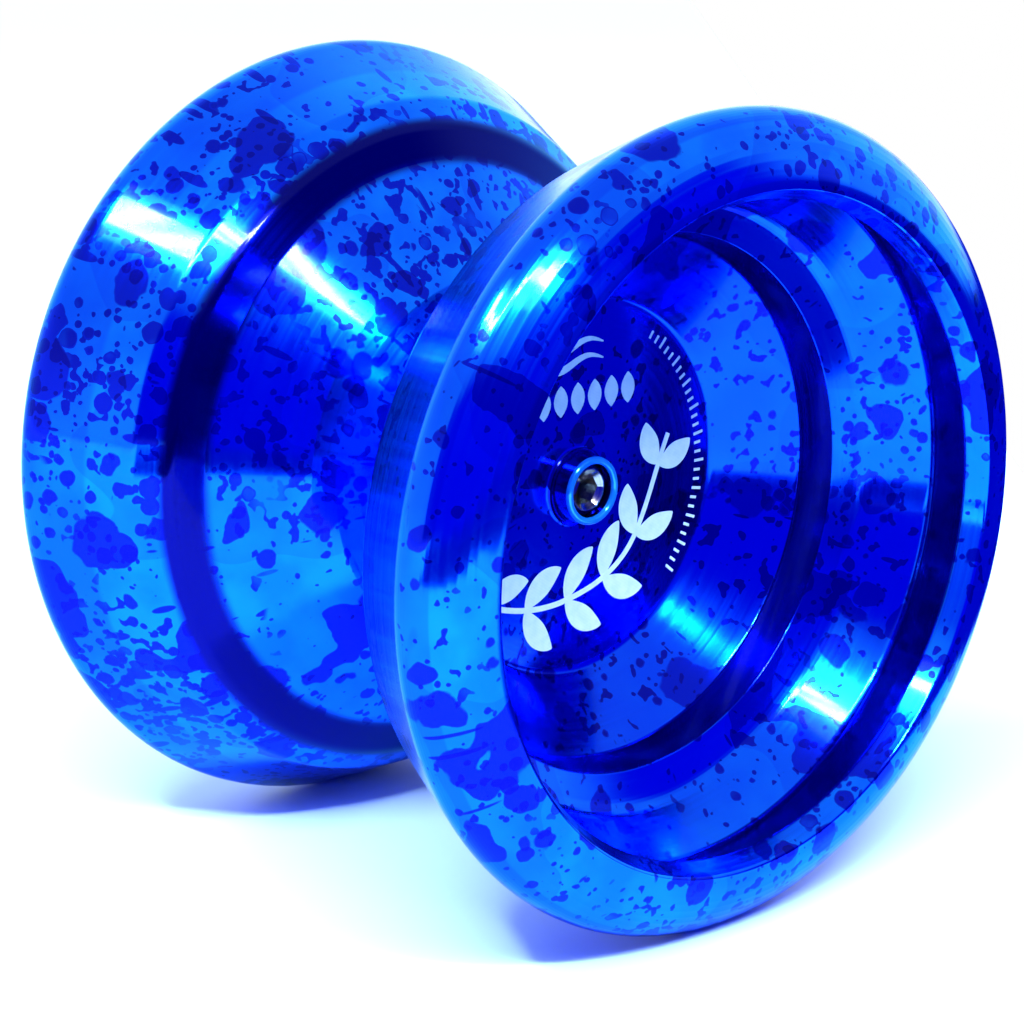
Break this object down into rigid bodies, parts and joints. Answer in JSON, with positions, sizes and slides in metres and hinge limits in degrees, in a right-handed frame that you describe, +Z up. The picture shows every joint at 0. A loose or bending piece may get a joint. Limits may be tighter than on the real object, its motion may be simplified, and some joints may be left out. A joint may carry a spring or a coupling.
{
  "type": "yo yo",
  "caption": "Full-size metal yo-yo: stepped, dished halves on a threaded axle with a shielded ball bearing and silicone response pads.",
  "frame": {"origin": "centre of the bearing, midway between the two halves", "axes": "+X along the axle towards the right half's cup, +Z up, the yo-yo standing on its two rims"},
  "size_m": [0.0466, 0.0558, 0.0558],
  "materials": {
    "anodised_blue": "polished bright-blue anodising with darker blue splatter",
    "axle_steel": "dark polished alloy steel",
    "bearing_steel": "ground bearing steel",
    "ball_steel": "mirror-polished balls",
    "cage_steel": "stamped stainless cage",
    "shield_steel": "satin pressed shields",
    "spring_steel": "spring-steel wire",
    "silicone_white": "matte silicone"
  },
  "bodies": {
    "left_side": {"left_half": "anodised_blue", "response_pad_left": "silicone_white", "axle": "axle_steel"},
    "inner_race": {"bearing_inner_race": "bearing_steel"},
    "right_side": {"right_half": "anodised_blue", "response_pad_right": "silicone_white"},
    "outer_race": {"bearing_outer_race": "bearing_steel", "bearing_shield_left": "shield_steel", "bearing_shield_right": "shield_steel", "snap_ring_left": "spring_steel", "snap_ring_right": "spring_steel"},
    "cage": {"bearing_cage": "cage_steel"},
    "ball_1": {"bearing_ball_1": "ball_steel"},
    "ball_2": {"bearing_ball_2": "ball_steel"},
    "ball_3": {"bearing_ball_3": "ball_steel"},
    "ball_4": {"bearing_ball_4": "ball_steel"},
    "ball_5": {"bearing_ball_5": "ball_steel"},
    "ball_6": {"bearing_ball_6": "ball_steel"},
    "ball_7": {"bearing_ball_7": "ball_steel"},
    "ball_8": {"bearing_ball_8": "ball_steel"}
  },
  "joints": [
    {"name": "bearing_draw_off", "type": "slide", "parent": "left_side", "child": "inner_race", "axis": [1, 0, 0], "range_m": [0, 0.0067]},
    {"name": "right_half_unscrew", "type": "hinge", "parent": "inner_race", "child": "right_side", "pos_m": [0, 0, 0], "axis": [1, 0, 0], "range_deg": [0, 3420]},
    {"name": "outer_race_spin", "type": "hinge", "parent": "inner_race", "child": "outer_race", "pos_m": [0, 0, 0], "axis": [1, 0, 0], "continuous": true},
    {"name": "cage_spin", "type": "hinge", "parent": "inner_race", "child": "cage", "pos_m": [0, 0, 0], "axis": [1, 0, 0], "continuous": true},
    {"name": "ball_1_spin", "type": "hinge", "parent": "cage", "child": "ball_1", "pos_m": [0, 0, 0.00476], "axis": [1, 0, 0], "continuous": true},
    {"name": "ball_2_spin", "type": "hinge", "parent": "cage", "child": "ball_2", "pos_m": [0, -0.00337, 0.00337], "axis": [1, 0, 0], "continuous": true},
    {"name": "ball_3_spin", "type": "hinge", "parent": "cage", "child": "ball_3", "pos_m": [0, -0.00476, 0], "axis": [1, 0, 0], "continuous": true},
    {"name": "ball_4_spin", "type": "hinge", "parent": "cage", "child": "ball_4", "pos_m": [0, -0.00337, -0.00337], "axis": [1, 0, 0], "continuous": true},
    {"name": "ball_5_spin", "type": "hinge", "parent": "cage", "child": "ball_5", "pos_m": [0, 0, -0.00476], "axis": [1, 0, 0], "continuous": true},
    {"name": "ball_6_spin", "type": "hinge", "parent": "cage", "child": "ball_6", "pos_m": [0, 0.00337, -0.00337], "axis": [1, 0, 0], "continuous": true},
    {"name": "ball_7_spin", "type": "hinge", "parent": "cage", "child": "ball_7", "pos_m": [0, 0.00476, 0], "axis": [1, 0, 0], "continuous": true},
    {"name": "ball_8_spin", "type": "hinge", "parent": "cage", "child": "ball_8", "pos_m": [0, 0.00337, 0.00337], "axis": [1, 0, 0], "continuous": true}
  ],
  "couplings": [
    {"joint": "bearing_draw_off", "follows": "right_half_unscrew", "m_per_rad": 0.00011141},
    {"joint": "cage_spin", "follows": "outer_race_spin", "ratio": 0.58336},
    {"joint": "ball_1_spin", "follows": "outer_race_spin", "ratio": 2.9157},
    {"joint": "ball_2_spin", "follows": "outer_race_spin", "ratio": 2.9157},
    {"joint": "ball_3_spin", "follows": "outer_race_spin", "ratio": 2.9157},
    {"joint": "ball_4_spin", "follows": "outer_race_spin", "ratio": 2.9157},
    {"joint": "ball_5_spin", "follows": "outer_race_spin", "ratio": 2.9157},
    {"joint": "ball_6_spin", "follows": "outer_race_spin", "ratio": 2.9157},
    {"joint": "ball_7_spin", "follows": "outer_race_spin", "ratio": 2.9157},
    {"joint": "ball_8_spin", "follows": "outer_race_spin", "ratio": 2.9157}
  ]
}
